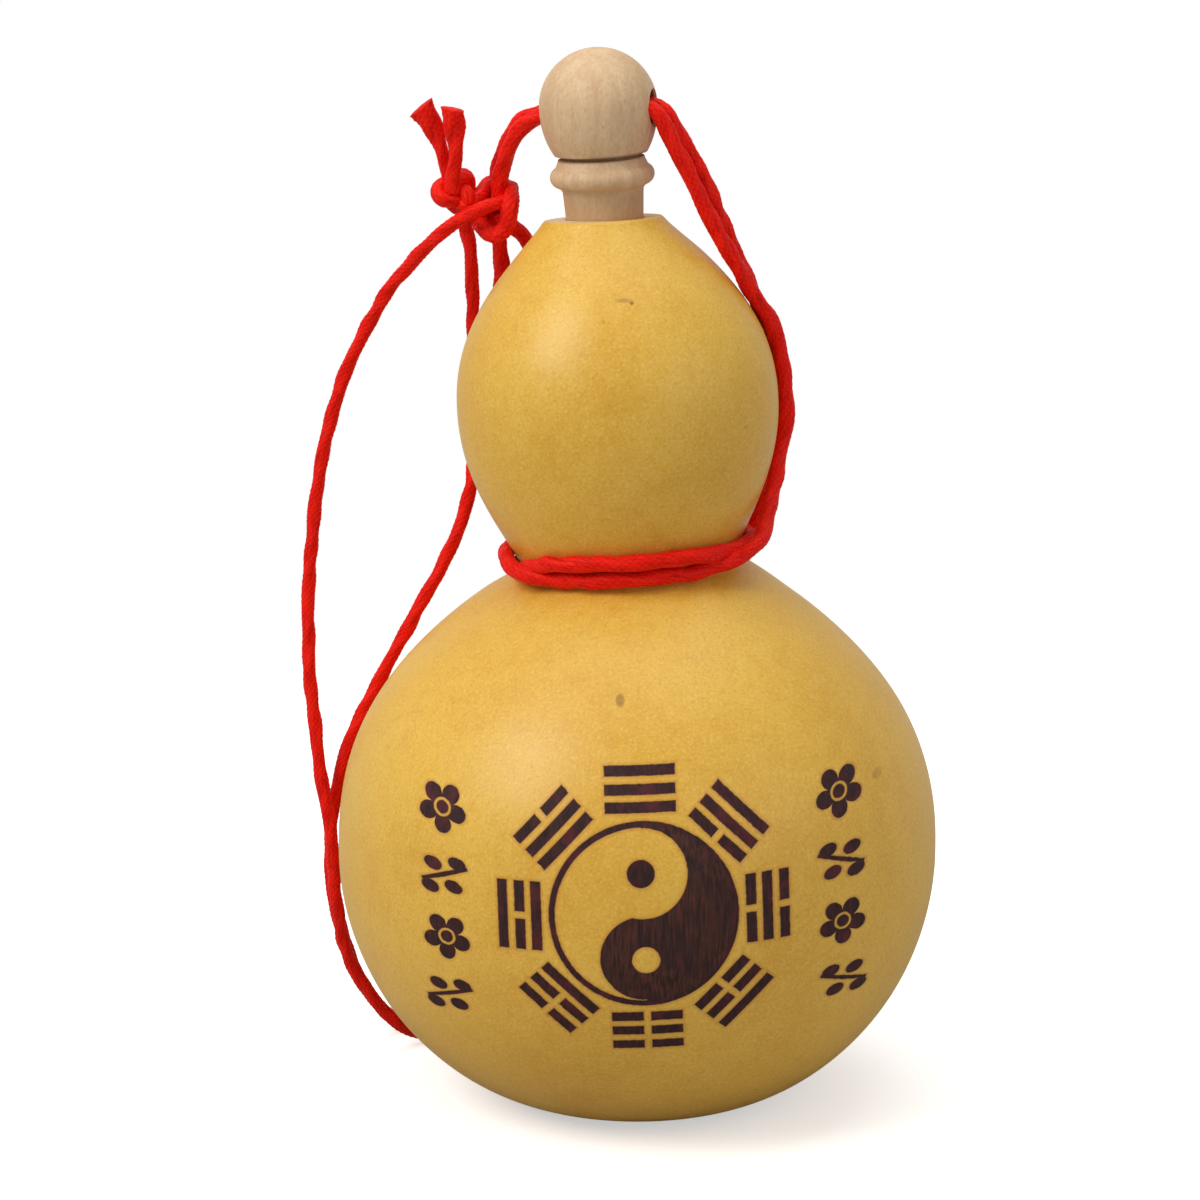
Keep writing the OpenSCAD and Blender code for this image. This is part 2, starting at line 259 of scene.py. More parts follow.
def braided(name, line, diameter, around=44, relief=0.14, wide=1.0, thick=1.0, slant=0.0):
    """A braided cord along line.

    relief is the depth of the braid. wide and thick scale the cord across and in depth along
    the line, such as at a cut end, and slant is the slope of the cut at its last end. The
    braid's height and the place along the lay of the fibres are kept for the material.
    """
    rings = len(line)
    side, other = carried_sides(line)
    far = np.arange(rings) * (line_length(line) / (rings - 1))
    turn = np.arange(around) / around
    pitch = math.pi * diameter * PITCH
    high = braid(far[:, None], turn[None, :], pitch)
    plump = 1 + 0.03 * np.sin(far / 1.9 + 0.7) * np.sin(far / 6.1) + 0.02 * np.sin(far / 0.83)
    # Soft folds wind slowly round the cord and keep it from being an even tube.
    fold = 2 * math.pi * turn[None, :] - far[:, None] / 2.6
    folds = 0.065 * np.sin(2 * fold + np.sin(far / 3.7)[:, None]) + 0.035 * np.sin(3 * fold + 1.3)
    r = (diameter / 2 - relief * (1 - high)) * plump[:, None] * (1 + folds)
    deep = r * np.cos(2 * math.pi * turn) * np.broadcast_to(thick, rings)[:, None]
    flat = r * np.sin(2 * math.pi * turn) * np.broadcast_to(wide, rings)[:, None]
    verts = line[:, None] + deep[..., None] * side[:, None] + flat[..., None] * other[:, None]
    if slant:
        verts[..., 2] += slant * flat * ease(far, far[-1] - 4, far[-1])[:, None]
    verts = verts.reshape(-1, 3)
    faces = grid_faces(rings, around)
    faces += [list(range(around))[::-1], [(rings - 1) * around + k for k in range(around)]]
    obj = link(name, verts, faces)
    layer = obj.data.attributes.new("braid", "FLOAT", "POINT")
    layer.data.foreach_set("value", high.reshape(-1).astype(np.float32))
    spin = 2 * math.pi * turn - far[:, None] / FIBRE_LAY
    lay = np.stack(
        np.broadcast_arrays(
            diameter / 2 * np.cos(spin), diameter / 2 * np.sin(spin), far[:, None]
        ),
        -1,
    )
    layer = obj.data.attributes.new("lay", "FLOAT_VECTOR", "POINT")
    layer.data.foreach_set("vector", lay.reshape(-1).astype(np.float32))
    obj.data.materials.append(red_cord())
    return obj


# Node materials
class Sum:
    """One output of a node tree, so that node maths reads like maths."""

    def __init__(self, tree, out):
        self.tree, self.out = tree, out

    def math(self, kind, *others, clamp=False):
        node = self.tree.nodes.new("ShaderNodeMath")
        node.operation = kind
        node.use_clamp = clamp
        for socket, value in zip(node.inputs, (self, *others)):
            feed(self.tree, socket, value)
        return Sum(self.tree, node.outputs[0])

    def __add__(self, other):
        return self.math("ADD", other)

    def __sub__(self, other):
        return self.math("SUBTRACT", other)

    def __mul__(self, other):
        return self.math("MULTIPLY", other)

    def __truediv__(self, other):
        return self.math("DIVIDE", other)

    def __neg__(self):
        return self.math("MULTIPLY", -1.0)

    def size(self):
        return self.math("ABSOLUTE")

    def least(self, other):
        return self.math("MINIMUM", other)

    def most(self, other):
        return self.math("MAXIMUM", other)

    def power(self, other):
        return self.math("POWER", other)

    def inside(self, soft=0.1):
        """1 where a signed distance is inside, 0 outside, over a soft edge."""
        return self.math("MULTIPLY_ADD", -1.0 / soft, 0.5, clamp=True)

    def between(self, low, high, into=(0.0, 1.0)):
        """This value from low to high, spread smoothly over into."""
        node = self.tree.nodes.new("ShaderNodeMapRange")
        node.interpolation_type = "SMOOTHSTEP"
        for socket, value in zip(node.inputs, (self, low, high, *into)):
            feed(self.tree, socket, value)
        return Sum(self.tree, node.outputs[0])


def feed(tree, socket, value):
    """A link from a Sum, or a constant set on the socket itself."""
    if isinstance(value, Sum):
        tree.links.new(value.out, socket)
    else:
        socket.default_value = value


def rgb(r, g, b):
    """A colour read as 0 to 255 screen values, in the linear values nodes take."""
    line = [(c / 255 / 12.92 if c < 11 else ((c / 255 + 0.055) / 1.055) ** 2.4) for c in (r, g, b)]
    return (*line, 1.0)


class Paint:
    """A node material with one Principled shader, built up by small steps."""

    def __init__(self, name):
        self.material = bpy.data.materials.new(name)
        self.material.use_nodes = True
        self.tree = self.material.node_tree
        self.shader = next(n for n in self.tree.nodes if n.type == "BSDF_PRINCIPLED")
        self.place = Sum(self.tree, self.tree.nodes.new("ShaderNodeTexCoord").outputs["Object"])

    def node(self, kind, out=0, inputs=(), **settings):
        node = self.tree.nodes.new(kind)
        for key, value in settings.items():
            setattr(node, key, value)
        for key, value in dict(inputs).items():
            feed(self.tree, node.inputs[key], value)
        return Sum(self.tree, node.outputs[out])

    def axes(self, where=None, scale=1 / MM):
        """x, y and z of a place, in millimetres."""
        node = self.tree.nodes.new("ShaderNodeSeparateXYZ")
        feed(self.tree, node.inputs[0], where or self.place)
        return [Sum(self.tree, out) * scale for out in node.outputs]

    def vector(self, x, y, z):
        return self.node("ShaderNodeCombineXYZ", inputs={0: x, 1: y, 2: z})

    def scaled(self, x, y, z):
        """The place in millimetres, stretched by a factor along each axis."""
        return self.node(
            "ShaderNodeVectorMath",
            inputs={0: self.place, 1: (x / MM, y / MM, z / MM)},
            operation="MULTIPLY",
        )

    def noise(self, size, detail=3.0, where=None, rough=0.55, warp=0.0):
        """Noise from 0 to 1 with lumps of about that many millimetres."""
        return self.node(
            "ShaderNodeTexNoise",
            inputs={
                "Vector": where or self.scaled(1, 1, 1),
                "Scale": 1 / size,
                "Detail": detail,
                "Roughness": rough,
                "Distortion": warp,
            },
        )

    def attribute(self, name):
        return self.node("ShaderNodeAttribute", out="Fac", attribute_name=name)

    def mix(self, amount, a, b):
        """Colour a where amount is 0, b where it is 1."""
        node = self.tree.nodes.new("ShaderNodeMix")
        node.data_type = "RGBA"
        feed(self.tree, node.inputs[0], amount)
        feed(self.tree, node.inputs[6], a)
        feed(self.tree, node.inputs[7], b)
        return Sum(self.tree, node.outputs[2])

    def bump(self, height, depth):
        """A normal from a height of 0 to 1 that stands for depth millimetres."""
        inputs = {"Height": height, "Distance": depth * MM, "Strength": 1.0}
        return self.node("ShaderNodeBump", inputs=inputs)

    def set(self, **inputs):
        """Feeds the shader's inputs, with _ for a blank in their names."""
        for key, value in inputs.items():
            feed(self.tree, self.shader.inputs[key.replace("_", " ")], value)
        return self.material


_made = {}


def once(make):
    """The material that make builds, built the first time it is asked for."""

    def get():
        if make.__name__ not in _made:
            _made[make.__name__] = make()
        return _made[make.__name__]

    return get


@once
def red_cord():
    """Bright red braided polyester: soft strands and long silky fibres, with painted shade deep
    red in the braid's grooves and painted highlights on its crowns.
    """
    p = Paint("red_cord")
    high = p.attribute("braid")
    lay_x, lay_y, lay_far = p.axes(
        p.node("ShaderNodeAttribute", out="Vector", attribute_name="lay"), scale=1.0
    )
    fibre = p.noise(0.34, 3.0, where=p.vector(lay_x, lay_y, lay_far * 0.09), rough=0.65)
    fine = p.noise(0.12, 2.0, where=p.vector(lay_x, lay_y, lay_far * 0.12))
    lumps = p.noise(1.5, 3.0)
    # Painted shade: deep red in the braid's grooves, where its height is low.
    colour = p.mix(high.between(0.0, 0.55), rgb(168, 2, 6), rgb(238, 16, 8))
    # Painted highlight: lighter glints on the braid's crowns.
    colour = p.mix(high.between(0.72, 1.0, (0.0, 0.3)), colour, rgb(255, 66, 44))
    colour = p.mix(fibre.between(0.42, 0.68, (0.0, 0.5)), colour, rgb(255, 46, 22))
    colour = p.mix(fibre.between(0.48, 0.32, (0.0, 0.55)), colour, rgb(164, 2, 6))
    colour = p.mix(lumps.between(0.5, 0.72, (0.0, 0.4)), colour, rgb(184, 4, 8))
    return p.set(
        Base_Color=colour,
        Roughness=fibre.between(0.3, 0.7, (0.62, 0.42)),
        Specular_IOR_Level=0.22,
        Specular_Tint=(1, 0.5, 0.4, 1),
        Normal=p.bump(fibre * 0.7 + fine * 0.3, 0.09),
    )


# What is drawn on the skin fades in between these two values of y, so it stays in front.
FRONT = (-4.0, -6.0)
# The drawing's sizes: its middle and tilt, the disc's ring, the two heads and dots of its
# halves, then per trigram bar the distance from the middle and the thickness, and the bars'
# half length and the half width of the gap in a broken one.
DRAWING_X, DRAWING_Z, DRAWING_TILT = 1.2, 46.27, math.radians(2.0)
RING_R, RING_HALF, HALVES_R = 15.05, 0.5, 15.0
HEAD_Z, HEAD_R = 7.1, 7.35
LIGHT_DOT, DARK_DOT = (0.15, -7.3, 2.3), (-0.27, 7.2, 2.27)
BARS = ((17.6, 1.7), (20.3, 1.65), (23.1, 1.6))
BAR_HALF, GAP_HALF = 5.8, 0.62
# The trigrams lie in eight directions, SECTOR apart.
SECTOR = math.pi / 4
# Which of the directions, counted from the right counter-clockwise, have a broken bar,
# for the inner, middle and outer bar of each trigram.
BROKEN = ((0, 1, 6, 7), (4, 5, 6, 7), (0, 3, 5, 6))
# The columns: their distance from the middle, a row's height and half of all rows' height. A
# flower and a sprig take turns, and a sprig has four leaves round its stem.
COLUMN_X, ROW, COLUMN_HALF = 32.8, 10.6, 21.2
LEAVES = ((-2.2, 1.9), (1.9, 1.5), (-1.5, -1.9), (2.5, -2.3))


def burned_ornament(p, x, y, z):
    """The burned drawing on the belly's front: its ink, the disc's dark half and the scorch.

    A disc of two halves within a ring, eight trigrams round it, and a column of small burned
    flowers and sprigs on each side.
    """
    cos, sin = math.cos(DRAWING_TILT), math.sin(DRAWING_TILT)
    wobble = (p.noise(0.9, 2.0) - 0.5) * 0.22
    dx, dz = x - DRAWING_X, z - DRAWING_Z
    u = dx * cos + dz * sin + wobble
    v = dz * cos - dx * sin + wobble
    r = (u * u + v * v).power(0.5)

    def circle(cx, cz, radius):
        return ((u - cx).power(2.0) + (v - cz).power(2.0)).power(0.5) - radius

    ring = (r - RING_R).size() - RING_HALF
    light_head, dark_head = circle(0.0, HEAD_Z, HEAD_R), circle(0.0, -HEAD_Z, HEAD_R)
    half = (-u).least(dark_head).most(-light_head).most(r - HALVES_R)
    half = half.most(-circle(*LIGHT_DOT))
    dot = circle(*DARK_DOT)

    angle = v.math("ARCTAN2", u) + 2 * math.pi
    sector = (angle / SECTOR).math("ROUND")
    local = angle - sector * SECTOR
    sector = sector.math("FLOORED_MODULO", 8.0)
    out, side = r * local.math("COSINE"), (r * local.math("SINE")).size()
    bars = None
    for (distance, thick), broken in zip(BARS, BROKEN):
        gap = None
        for k in broken:
            here = sector.math("COMPARE", float(k), 0.25)
            gap = here if gap is None else gap + here
        bar = (out - distance).size() - thick / 2
        bar = bar.most(side - BAR_HALF).most(-(side - GAP_HALF) - 100.0 + gap * 100.0)
        bars = bar if bars is None else bars.least(bar)

    # A motif is drawn about cu, cv, its own middle.
    cu, sv = u.size() - COLUMN_X, v + 0.1
    row = (sv / ROW).math("FLOOR")
    cv = sv - row * ROW - ROW / 2
    cr = (cu * cu + cv * cv).power(0.5)
    turn = cv.math("ARCTAN2", cu)
    # Five petals round an open ring.
    petal = cr - ((turn * 2.5 + 0.785).math("COSINE").size().power(0.6) * 2.3 + 1.75)
    flower = petal.most(-((cr - 1.25).size() - 0.22))
    # A slanting stem and its leaves.
    stem = (cu * 0.35 + cv).size() - 0.42 + cu.size() * 0.03
    leaf = None
    for lx, lz in LEAVES:
        long = (cu - lx) * 0.85 + (cv - lz) * 0.4
        broad = (cv - lz) * 1.3 - (cu - lx) * 0.5
        one = (long.power(2.0) + broad.power(2.0)).power(0.5) - 1.45
        leaf = one if leaf is None else leaf.least(one)
    sprig = leaf.least(stem.most(cr - 4.2))
    odd = row.math("FLOORED_MODULO", 2.0)
    motif = flower * odd + sprig * (odd * -1.0 + 1.0)
    motif = motif.most(cr - 4.9).most(sv.size() - COLUMN_HALF)

    drawn = ring.least(half).least(dot).least(bars).least(motif)
    front = y.between(*FRONT)
    return drawn.inside(0.16) * front, half.inside(0.5), (drawn - 0.3).inside(0.6) * front


@once
def gourd_skin():
    """A dried, scraped and waxed gourd: warm yellow, softly mottled, satin."""
    p = Paint("gourd_skin")
    x, y, z = p.axes()
    ink, field, scorch = burned_ornament(p, x, y, z)

    broad = p.noise(26.0, 2.0, warp=0.6)
    mottle = p.noise(3.2, 4.0, rough=0.65)
    grain = p.noise(0.5, 3.0, rough=0.7)
    streak = p.noise(5.0, 2.0, where=p.scaled(1, 1, 0.12))
    colour = p.mix(broad.between(0.3, 0.7), rgb(222, 171, 58), rgb(230, 183, 69))
    colour = p.mix(mottle.between(0.4, 0.72, (0.0, 0.28)), colour, rgb(238, 194, 96))
    colour = p.mix(mottle.between(0.48, 0.25, (0.0, 0.24)), colour, rgb(205, 142, 50))
    colour = p.mix(grain.between(0.5, 0.7, (0.0, 0.45)), colour, rgb(198, 138, 46))
    colour = p.mix(grain.between(0.48, 0.3, (0.0, 0.42)), colour, rgb(246, 212, 112))
    colour = p.mix(streak.between(0.55, 0.8, (0.0, 0.12)), colour, rgb(214, 154, 60))

    # The sanded lip, and the blossom's scar under the base.
    lip = axis_height(x, z) + y * CUT_FRONT + x * CUT_LEFT
    lip = lip.between(MOUTH_Z - 0.2, MOUTH_Z - 0.06)
    sanded = p.mix(grain.between(0.3, 0.7), rgb(226, 196, 140), rgb(244, 224, 178))
    colour = p.mix(lip, colour, sanded)
    from_axis = (x * x + y * y).power(0.5)
    scar = from_axis.between(3.4, 1.6) * z.between(1.5, 0.5)
    colour = p.mix(scar * mottle.between(0.3, 0.6, (0.6, 1.0)), colour, rgb(110, 66, 26))

    # Small specks and the blemish on the upper bulb: x, z, half width, half height, darkness.
    for sx, sz, wide, tall, dark in (
        (-2.8, 79.2, 0.75, 0.95, 0.62),
        (40.2, 64.0, 0.9, 0.8, 0.35),
        (-2.3, 142.7, 1.4, 0.34, 0.4),
        (-1.0, 142.3, 0.36, 0.3, 0.75),
        (-5.7, 139.5, 0.32, 0.3, 0.5),
        (-14.5, 28.0, 0.4, 0.4, 0.3),
        (18.0, 121.0, 0.35, 0.35, 0.25),
    ):
        spot = (((x - sx) / wide).power(2.0) + ((z - sz) / tall).power(2.0)).between(1.6, 0.1)
        spot = spot * y.between(*FRONT) * mottle.between(0.2, 0.55)
        colour = p.mix(spot * dark, colour, rgb(110, 62, 26))

    # The burn: reddish black lines, and upright brown strokes in the disc's dark half.
    strokes = p.noise(0.55, 3.0, where=p.scaled(1, 1, 0.08), rough=0.7)
    strength = p.noise(4.5, 2.0)
    burn = p.mix(strokes.between(0.3, 0.75), rgb(24, 4, 8), rgb(70, 20, 20))
    burn = p.mix(strength.between(0.5, 0.7, (0.0, 0.55)), burn, rgb(96, 26, 34))
    wood = p.mix(strokes.between(0.34, 0.68), rgb(24, 5, 6), rgb(86, 40, 28))
    wood = p.mix(strength.between(0.35, 0.65, (0.0, 0.5)), wood, rgb(44, 16, 14))
    burn = p.mix(field, burn, wood)
    colour = p.mix(scorch * 0.45, colour, rgb(172, 96, 34))
    colour = p.mix(ink, colour, burn)

    height = mottle * 0.5 + grain * 0.18 + ink * (strokes * 0.8 - 2.6)
    return p.set(
        Base_Color=colour,
        Roughness=mottle.between(0.3, 0.7, (0.36, 0.47)) + ink * 0.3 + lip * 0.3,
        Specular_IOR_Level=0.38,
        Coat_Weight=ink.between(0.0, 1.0, (0.12, 0.0)),
        Coat_Roughness=0.32,
        Subsurface_Weight=0.06,
        Subsurface_Radius=(0.003, 0.0015, 0.0006),
        Subsurface_Scale=1.0,
        Normal=p.bump(height, 0.06),
    )


@once
def turned_wood():
    """Pale turned beech: fine upright grain, short dark flecks and faint lathe rings."""
    p = Paint("turned_wood")
    x, y, z = p.axes()
    fibre = p.noise(0.34, 4.0, where=p.scaled(1, 1, 0.09), rough=0.7)
    broad = p.noise(3.0, 2.0, where=p.scaled(1, 1, 0.2), warp=0.8)
    fleck = p.noise(0.42, 2.0, where=p.scaled(1, 1, 0.3))
    grain = p.noise(0.62, 3.0, where=p.scaled(1, 1, 0.6), rough=0.65)
    years = ((x * 1.9 + y * 0.8 + broad * 7.0).math("SINE") * 0.5 + 0.5).power(2.0)
    colour = p.mix(broad.between(0.3, 0.7), rgb(212, 177, 136), rgb(224, 192, 153))
    colour = p.mix(years * 0.12, colour, rgb(196, 156, 116))
    colour = p.mix(grain.between(0.5, 0.72, (0.0, 0.4)), colour, rgb(188, 150, 108))
    colour = p.mix(grain.between(0.46, 0.3, (0.0, 0.3)), colour, rgb(238, 212, 180))
    colour = p.mix(fibre.between(0.45, 0.75, (0.0, 0.3)), colour, rgb(188, 148, 108))
    colour = p.mix(fleck.between(0.64, 0.74, (0.0, 0.35)), colour, rgb(156, 116, 80))

    # Painted shade: a darker shank under the bead, the groove under the ball, and the dark brown
    # wall of the cross hole.
    up = axis_height(x, z) - MOUTH_Z
    # Painted shade on the shank under the bead.
    colour = p.mix(up.between(6.2, 3.5) * 0.45, colour, rgb(170, 134, 98))
    # Painted shade in the groove under the ball.
    groove_shade = (up - GROOVE_Z).size().between(0.75, 0.2)
    colour = p.mix(groove_shade * 0.7, colour, rgb(120, 78, 44))
    # Painted shade on the dark brown wall inside the cross hole.
    ball = on_bore(0, 0, BALL_Z)
    depth = ((x - ball[0]).power(2.0) + y.power(2.0) + (z - ball[2]).power(2.0)).power(0.5)
    hole_shade = depth.between(BALL_R - 0.2, BALL_R - 0.7) * up.between(12.5, 13.5)
    colour = p.mix(hole_shade * 0.85, colour, rgb(64, 36, 22))
    rings = p.noise(0.3, 2.0, where=p.vector(0.0, 0.0, up))
    return p.set(
        Base_Color=colour,
        Roughness=fibre.between(0.3, 0.8, (0.5, 0.66)),
        Specular_IOR_Level=0.3,
        Normal=p.bump(rings * 0.5 + fibre, 0.05),
    )


@once
def beeswax():
    """The wax inside, brown gold and unevenly run."""
    p = Paint("beeswax")
    runs = p.noise(6.0, 3.0, where=p.scaled(1, 1, 0.4), warp=0.5)
    fine = p.noise(1.1, 3.0)
    colour = p.mix(runs.between(0.3, 0.7), rgb(168, 116, 44), rgb(206, 158, 78))
    colour = p.mix(fine.between(0.5, 0.8, (0.0, 0.4)), colour, rgb(142, 92, 34))
    return p.set(
        Base_Color=colour,
        Roughness=fine.between(0.3, 0.7, (0.3, 0.5)),
        Subsurface_Weight=0.2,
        Subsurface_Radius=(0.002, 0.001, 0.0004),
        Subsurface_Scale=1.0,
        Normal=p.bump(runs, 0.3),
    )


# The cords' routes

# The doubled cord's two strands on the right, from inside the ball's cross hole down.
RIGHT_OUTER = [
    (-3.5, -2.3, 172.6), (-0.5, -3.4, 172.8), (2.0, -4.0, 172.6), (3.7, -4.4, 171.2),
    (5.5, -4.4, 167.6), (8.0, -3.9, 162.6), (10.2, -3.5, 158.2), (13.1, -2.7, 152.3),
    (16.6, -1.1, 146.0), (20.2, 1.1, 139.7), (22.4, 2.6, 136.2), (23.9, 4.0, 132.4),
    (25.2, 5.2, 125), (25.4, 4.6, 117.5), (23.9, 2.6, 110.2),
]
RIGHT_INNER = [
    (-2.6, 0.7, 172.6), (0.5, -0.2, 172.9), (2.9, -0.9, 172.7), (4.7, -1.3, 171.5),
    (6.3, -1.5, 169.0), (8.9, -1.3, 164.5), (11.8, -0.8, 158.9), (14.4, 0.3, 152.5),
    (17.1, 2.2, 146), (20.2, 4.6, 139.3), (22.9, 7.2, 133), (24.4, 9.2, 126),
    (24.3, 9.6, 118), (22.7, 9.7, 110.2),
]
TOP_BACK = [
    (-3.6, 0.9, 172.6), (-8.0, 1.6, 172.3), (-12.9, 2.8, 171.9), (-16.9, 3.9, 171.0),
    (-19.8, 5.1, 169.4), (-22.0, 6.9, 166.2), (-23.6, 8.6, 162.0), (-24.2, 9.6, 158.4),
    (-24.3, 9.6, 154.4),
]
TOP_FRONT = [
    (-4.4, -2.1, 172.6), (-8.6, -1.4, 172.3), (-13.1, -0.5, 171.8), (-17.1, 0.7, 170.6),
    (-20.0, 1.9, 168.3), (-22.0, 3.7, 164.7), (-23.3, 5.5, 160.6), (-23.8, 6.6, 157.2),
    (-23.8, 6.8, 154.4),
]
BACK_LEFT = [
    (-24.3, 9.4, 155.0), (-23.8, 9.4, 147.9), (-23.4, 11.4, 143.5), (-24.1, 15.3, 137),
    (-25.3, 18.2, 130), (-25.3, 20.2, 122.5), (-23.3, 21.2, 115.5), (-20.4, 21.4, 108.5),
    (-17.8, 22, 102.4), (-17.0, 22.6, 99.8),
]
BACK_RIGHT = [
    (-23.6, 7.6, 153.8), (-22.2, 8.2, 151.8), (-20.0, 9.8, 149.6), (-18.2, 12.8, 146),
    (-19.0, 16.6, 141.5), (-20.3, 20.8, 135.5), (-20.8, 23.3, 128), (-19.6, 24.8, 119.5),
    (-17, 24.4, 110.5), (-15.2, 23.8, 102.4), (-15.9, 23.4, 99.8),
]
# The hanging loop. Its outer strand crosses the doubled cord's front, goes once round it,
# comes back across the front below, and turns up and behind to the knot of its ends.
HITCH = [
    (-30.6, 6.0, 155.5), (-29.0, 5.0, 155.5), (-27.5, 5.9, 156.0), (-26.5, 9.0, 157.0),
    (-25.1, 12.0, 158.0), (-23.2, 11.6, 157.8), (-22.0, 8.6, 157.5), (-21.6, 5.2, 156.8),
    (-21.7, 3.4, 155.3), (-21.9, 3.2, 153.5), (-22.6, 3.4, 151.5), (-24.0, 3.5, 150.4),
    (-25.5, 4.0, 150.6), (-26.6, 5.6, 151.6), (-27.0, 8.2, 152.4), (-26.4, 11.2, 152.9),
    (-24.6, 12.6, 153.2), (-22.6, 11.2, 154.1), (-21.7, 8.6, 155.0), (-22.3, 5.4, 155.9),
    (-23.9, 3.4, 155.8),
]
LOOP = [
    (-25.8, 2.7, 155.3), (-28.1, 1.9, 154.4), (-30.7, 1.6, 152.8), (-34.1, 2.6, 150.2),
    (-42.5, 7.5, 140.5), (-48.5, 9.5, 130), (-53, 10.5, 118), (-56, 11, 103), (-57.5, 11, 87),
    (-57.5, 10.5, 72), (-56, 9.5, 56), (-54, 9, 42.5), (-53.5, 10.5, 31), (-52, 13.5, 20),
    (-48.5, 16, 12), (-44, 18.5, 5.5), (-38, 22, 1.6), (-31, 27, 1.5), (-25.5, 34.5, 1.5),
    (-25, 43, 1.5), (-31, 49, 1.5), (-38.5, 47, 1.5), (-42, 40, 1.5), (-43.5, 31.5, 1.6),
    (-46, 25, 5), (-50, 19.5, 13), (-53.5, 15, 26), (-54.5, 12.7, 41), (-51.5, 12.5, 57),
    (-45.3, 12.5, 70.5), (-37.4, 12.5, 85), (-30.6, 13.2, 99), (-28.0, 14.6, 116),
    (-28.5, 14.6, 132), (-28.9, 10.6, 147), (-29.8, 8.4, 153), (-30.9, 7.4, 156),
]
TAIL_LEFT = [
    (-31.7, 6.8, 157.4), (-32.2, 6.6, 160.0), (-33.0, 6.1, 163.1), (-34.5, 5.2, 167.8),
    (-36.7, 4.2, 172.0),
]
TAIL_RIGHT = [
    (-31.6, 4.6, 157.4), (-31.4, 4.1, 160.3), (-30.9, 3.6, 163.4), (-31.0, 3.0, 168.1),
    (-31.3, 2.4, 171.9),
]
END_KNOT, TIE = (-31.0, 6.0, 157.3), (-16.5, 22.9, 98.9)


def skin_r(s):
    """Radius of the upper bulb's underside at height s on its axis."""
    t = np.clip((CROWN_Z - s) / (CROWN_Z - WAIST_Z), 0, 1)
    return stretch(t, (CROWN_R, CROWN_Z), (WAIST_R, WAIST_Z), *WAIST_BEND)[0]


def lying(out, angle, s):
    """A cord's centre at that angle and height, resting on the skin, moved outwards by out."""
    slope = skin_r(s + 0.5) - skin_r(s - 0.5)
    rest = (CORD / 2 + 0.25) * np.sqrt(1 + slope**2)
    return on_upper(skin_r(s) + rest + out, angle, s)


# The ends of the winding, as lying() takes them: outwards, angle and height above the waist.
# WIND_IN brings the cord down onto the waist, WIND_OUT takes it up again over the first turn.
WIND_IN = [
    (0.2, 5, 12.5), (0.3, 1, 10), (0.7, -6, 7.6), (1.5, -14, 5.4), (2.5, -23, 3.6),
    (2.4, -32, 2.2), (1.4, -41, 1.1), (0.4, -50, 0.7),
]
WIND_OUT = [
    (2.8, 48, 2.2), (3.0, 37, 1.2), (3.1, 28.5, 1.6), (3.0, 24.5, 3.6), (2.1, 23.0, 6.9),
    (0.9, 21.4, 11.4),
]
# The winding's low level, how much higher it is in front and at the left, how much lower it
# lies at both sides, and the distance of its levels with what that grows by in front.
WIND_LOW, WIND_FRONT, WIND_SIDE, SIDES_DROP = 95.38, 0.37, 0.3, 0.85
LEVELS, LEVELS_FRONT = 2.9, 0.25
# Where in a turn the two turns cross, and where in the second one it rides out.
CROSSING, LEAVING = (0.345, 0.475), (1.66, 1.8)


def winding():
    """Two turns round the waist, on a low and a high level, clockwise from the right.

    At the left the first turn rises over the second, which goes down under it. Near its end
    the second rides out over the first.
    """
    # 48 points a turn, between the ends that WIND_IN and WIND_OUT give.
    turn = np.arange(8, 88) / 48
    # 1 in front and -1 behind, and 1 at the left and -1 at the right.
    front = np.cos(2 * math.pi * (turn - 0.25))
    left = np.sin(2 * math.pi * (turn - 0.25))
    low = WIND_LOW + WIND_FRONT * front + WIND_SIDE * left - SIDES_DROP * left**2
    apart = LEVELS + LEVELS_FRONT * front
    first = ease(turn, *CROSSING)
    second = ease(turn, 1 + CROSSING[0], 1 + CROSSING[1])
    share = np.where(turn < 1, first, 1 - second)
    over = np.where(turn < 1, 2 * first - 1, 1.0)
    lift = CORD * 0.62 * np.sqrt(np.clip(0.88 - over**2, 0, None))
    leave = ease(turn, *LEAVING)
    lift = lift + CORD * 0.9 * leave - 0.55 * np.clip(left, 0, 1)
    climb = 10.0 * leave * np.clip(turn - 1.6, 0, 1)
    return lying(lift, -360 * turn, low + apart * share + climb)


def waist_cord_line():
    """The first cord from the ball down the right, twice round the waist and up again."""
    start = np.array([lying(o, a, WAIST_Z + h) for o, a, h in WIND_IN])
    end = np.array([lying(o, a, WAIST_Z + h) for o, a, h in WIND_OUT])
    route = np.vstack([RIGHT_OUTER, start, winding(), end, RIGHT_INNER[::-1]])
    return uneven(smooth_line(route, STEP), SWAY)


def trefoil(centre, across, high, aim, spin):
    """The line of a tight knot, drawn as a trefoil of that size facing along aim."""
    t = np.linspace(0, 2 * math.pi, 60)
    u = (np.sin(t) + 2 * np.sin(2 * t)) / 3 * across
    v = (np.cos(t) - 2 * np.cos(2 * t)) / 3 * across
    w = -np.sin(3 * t) * high
    facing = Vector(aim).to_track_quat("Z", "Y").to_matrix() @ Matrix.Rotation(spin, 3, "Z")
    return np.stack([u, v, w], -1) @ np.array(facing).T + np.array(centre)


# The cords

# The cord in the two knots, and how much plumper the loop is in the hitch, which ends where
# the second pair says, as a length from the loop's start.
KNOT_CORD, TIE_CORD = 2.8, 2.6
HITCH_PLUMP, HITCH_END = 0.25, (44, 52)


def tether_blend(obj):
    """Bakes the object's transform into its mesh."""
    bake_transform(obj)


def declare(obj, line, exit_point, diameter, far_end, lay, **more):
    """Works out the cord's line in metres, and keeps nothing of it."""
    (line * MM).tolist()


